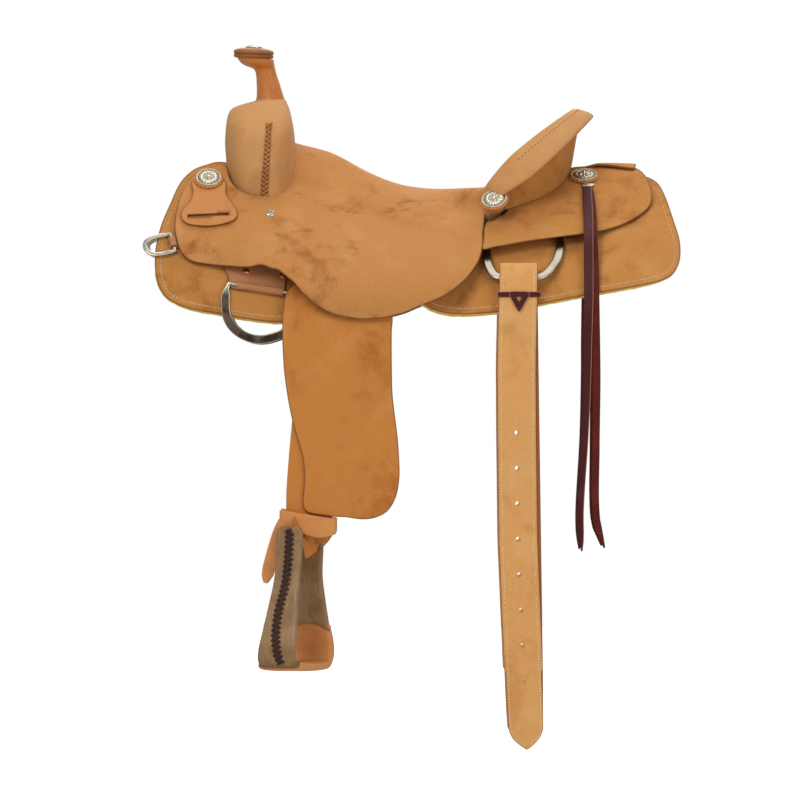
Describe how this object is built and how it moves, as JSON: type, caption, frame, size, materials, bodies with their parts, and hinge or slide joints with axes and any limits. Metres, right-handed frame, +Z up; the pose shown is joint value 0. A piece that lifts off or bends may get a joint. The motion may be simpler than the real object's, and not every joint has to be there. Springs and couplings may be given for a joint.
{
  "type": "western cutting saddle",
  "caption": "Western cutting saddle in rough-out leather with high swell, horn, deep seat, rolled cantle, hanging fenders, bell stirrups and flank billets.",
  "frame": {"origin": "in the saddle's middle plane at the height of the horse's back under the rider", "axes": "+X towards the horse's tail, +Y towards the off (right) side, +Z up"},
  "size_m": [0.7767, 0.6522, 1.0176],
  "materials": {
    "roughout": "rough-out, napped",
    "roughout_pale": "rough-out, paler and napped",
    "smooth_leather": "smooth, oiled",
    "fleece": "wool pile",
    "tree": "rawhide-covered wood",
    "rawhide": "varnished rawhide",
    "steel": "polished stainless steel",
    "silver": "silver plate with dark engraving",
    "latigo": "oiled latigo"
  },
  "bodies": {
    "saddle": {"tree_fork": "tree", "tree_bar_left": "tree", "tree_bar_right": "tree", "tree_cantle": "tree", "ground_seat": "tree", "swell_cover": "roughout_pale", "horn_wrap": "smooth_leather", "horn_cap": "smooth_leather", "horn_cap_concho": "silver", "seat_leather": "roughout", "cantle_roll": "roughout_pale", "cantle_back": "roughout", "spine_tab": "roughout", "rear_jockey_left": "roughout", "skirt_left": "roughout", "fleece_left": "fleece", "front_rigging_left": "roughout_pale", "rear_rigging_left": "roughout_pale", "breast_tab_left": "roughout_pale", "latigo_keeper_left": "smooth_leather", "concho_front_left": "silver", "concho_cantle_left": "silver", "concho_rear_left": "silver", "string_front_left": "latigo", "string_back_left": "latigo", "rear_jockey_right": "roughout", "skirt_right": "roughout", "fleece_right": "fleece", "front_rigging_right": "roughout_pale", "rear_rigging_right": "roughout_pale", "breast_tab_right": "roughout_pale", "latigo_keeper_right": "smooth_leather", "concho_front_right": "silver", "concho_cantle_right": "silver", "concho_rear_right": "silver", "string_front_right": "latigo", "string_back_right": "latigo"},
    "fender_left": {"fender_left": "roughout", "stirrup_leather_left": "roughout", "hobble_strap_left": "roughout"},
    "stirrup_left": {"stirrup_left": "rawhide", "stirrup_tread_left": "smooth_leather", "stirrup_bolt_left": "steel"},
    "front_dee_left": {"front_dee_left": "steel"},
    "rear_dee_left": {"rear_dee_left": "steel"},
    "billet_left": {"billet_left": "roughout", "billet_tie_left": "latigo"},
    "breast_dee_left": {"breast_dee_left": "steel"},
    "fender_right": {"fender_right": "roughout", "stirrup_leather_right": "roughout", "hobble_strap_right": "roughout"},
    "stirrup_right": {"stirrup_right": "rawhide", "stirrup_tread_right": "smooth_leather", "stirrup_bolt_right": "steel"},
    "front_dee_right": {"front_dee_right": "steel"},
    "rear_dee_right": {"rear_dee_right": "steel"},
    "billet_right": {"billet_right": "roughout", "billet_tie_right": "latigo"},
    "breast_dee_right": {"breast_dee_right": "steel"}
  },
  "joints": [
    {"name": "fender_swing_left", "type": "hinge", "parent": "saddle", "child": "fender_left", "pos_m": [-0.088, -0.25, 0.01], "axis": [0, 1, 0], "range_deg": [-10, 15]},
    {"name": "fender_swing_right", "type": "hinge", "parent": "saddle", "child": "fender_right", "pos_m": [-0.088, 0.25, 0.01], "axis": [0, 1, 0], "range_deg": [-10, 15]},
    {"name": "stirrup_pivot_left", "type": "hinge", "parent": "fender_left", "child": "stirrup_left", "pos_m": [-0.145, -0.2575, -0.458], "axis": [-0.4226, -0.9063, 0], "range_deg": [-20, 25]},
    {"name": "stirrup_pivot_right", "type": "hinge", "parent": "fender_right", "child": "stirrup_right", "pos_m": [-0.145, 0.2575, -0.458], "axis": [0.4226, -0.9063, 0], "range_deg": [-20, 25]},
    {"name": "front_dee_swing_left", "type": "hinge", "parent": "saddle", "child": "front_dee_left", "pos_m": [-0.205, -0.24175, -0.093], "axis": [-0.9901, 0.0211, 0.139], "range_deg": [-3, 0]},
    {"name": "front_dee_swing_right", "type": "hinge", "parent": "saddle", "child": "front_dee_right", "pos_m": [-0.205, 0.24175, -0.093], "axis": [0.9901, 0.0211, -0.139], "range_deg": [-3, 0]},
    {"name": "rear_dee_swing_left", "type": "hinge", "parent": "saddle", "child": "rear_dee_left", "pos_m": [0.17975, -0.1757, -0.021], "axis": [-0.9739, -0.1531, -0.1677], "range_deg": [0, 15]},
    {"name": "rear_dee_swing_right", "type": "hinge", "parent": "saddle", "child": "rear_dee_right", "pos_m": [0.17975, 0.1757, -0.021], "axis": [0.9739, -0.1531, 0.1677], "range_deg": [0, 15]},
    {"name": "billet_swing_left", "type": "hinge", "parent": "rear_dee_left", "child": "billet_left", "pos_m": [0.172, -0.241, -0.0745], "axis": [-1, 0, 0], "range_deg": [0, 30]},
    {"name": "billet_swing_right", "type": "hinge", "parent": "rear_dee_right", "child": "billet_right", "pos_m": [0.172, 0.241, -0.0745], "axis": [1, 0, 0], "range_deg": [0, 30]},
    {"name": "breast_dee_swing_left", "type": "hinge", "parent": "saddle", "child": "breast_dee_left", "pos_m": [-0.332, -0.20851, -0.0245], "axis": [-0.1639, 0.5489, 0.8196], "range_deg": [0, 75]},
    {"name": "breast_dee_swing_right", "type": "hinge", "parent": "saddle", "child": "breast_dee_right", "pos_m": [-0.332, 0.20851, -0.0245], "axis": [0.1639, 0.5489, -0.8196], "range_deg": [0, 75]}
  ]
}
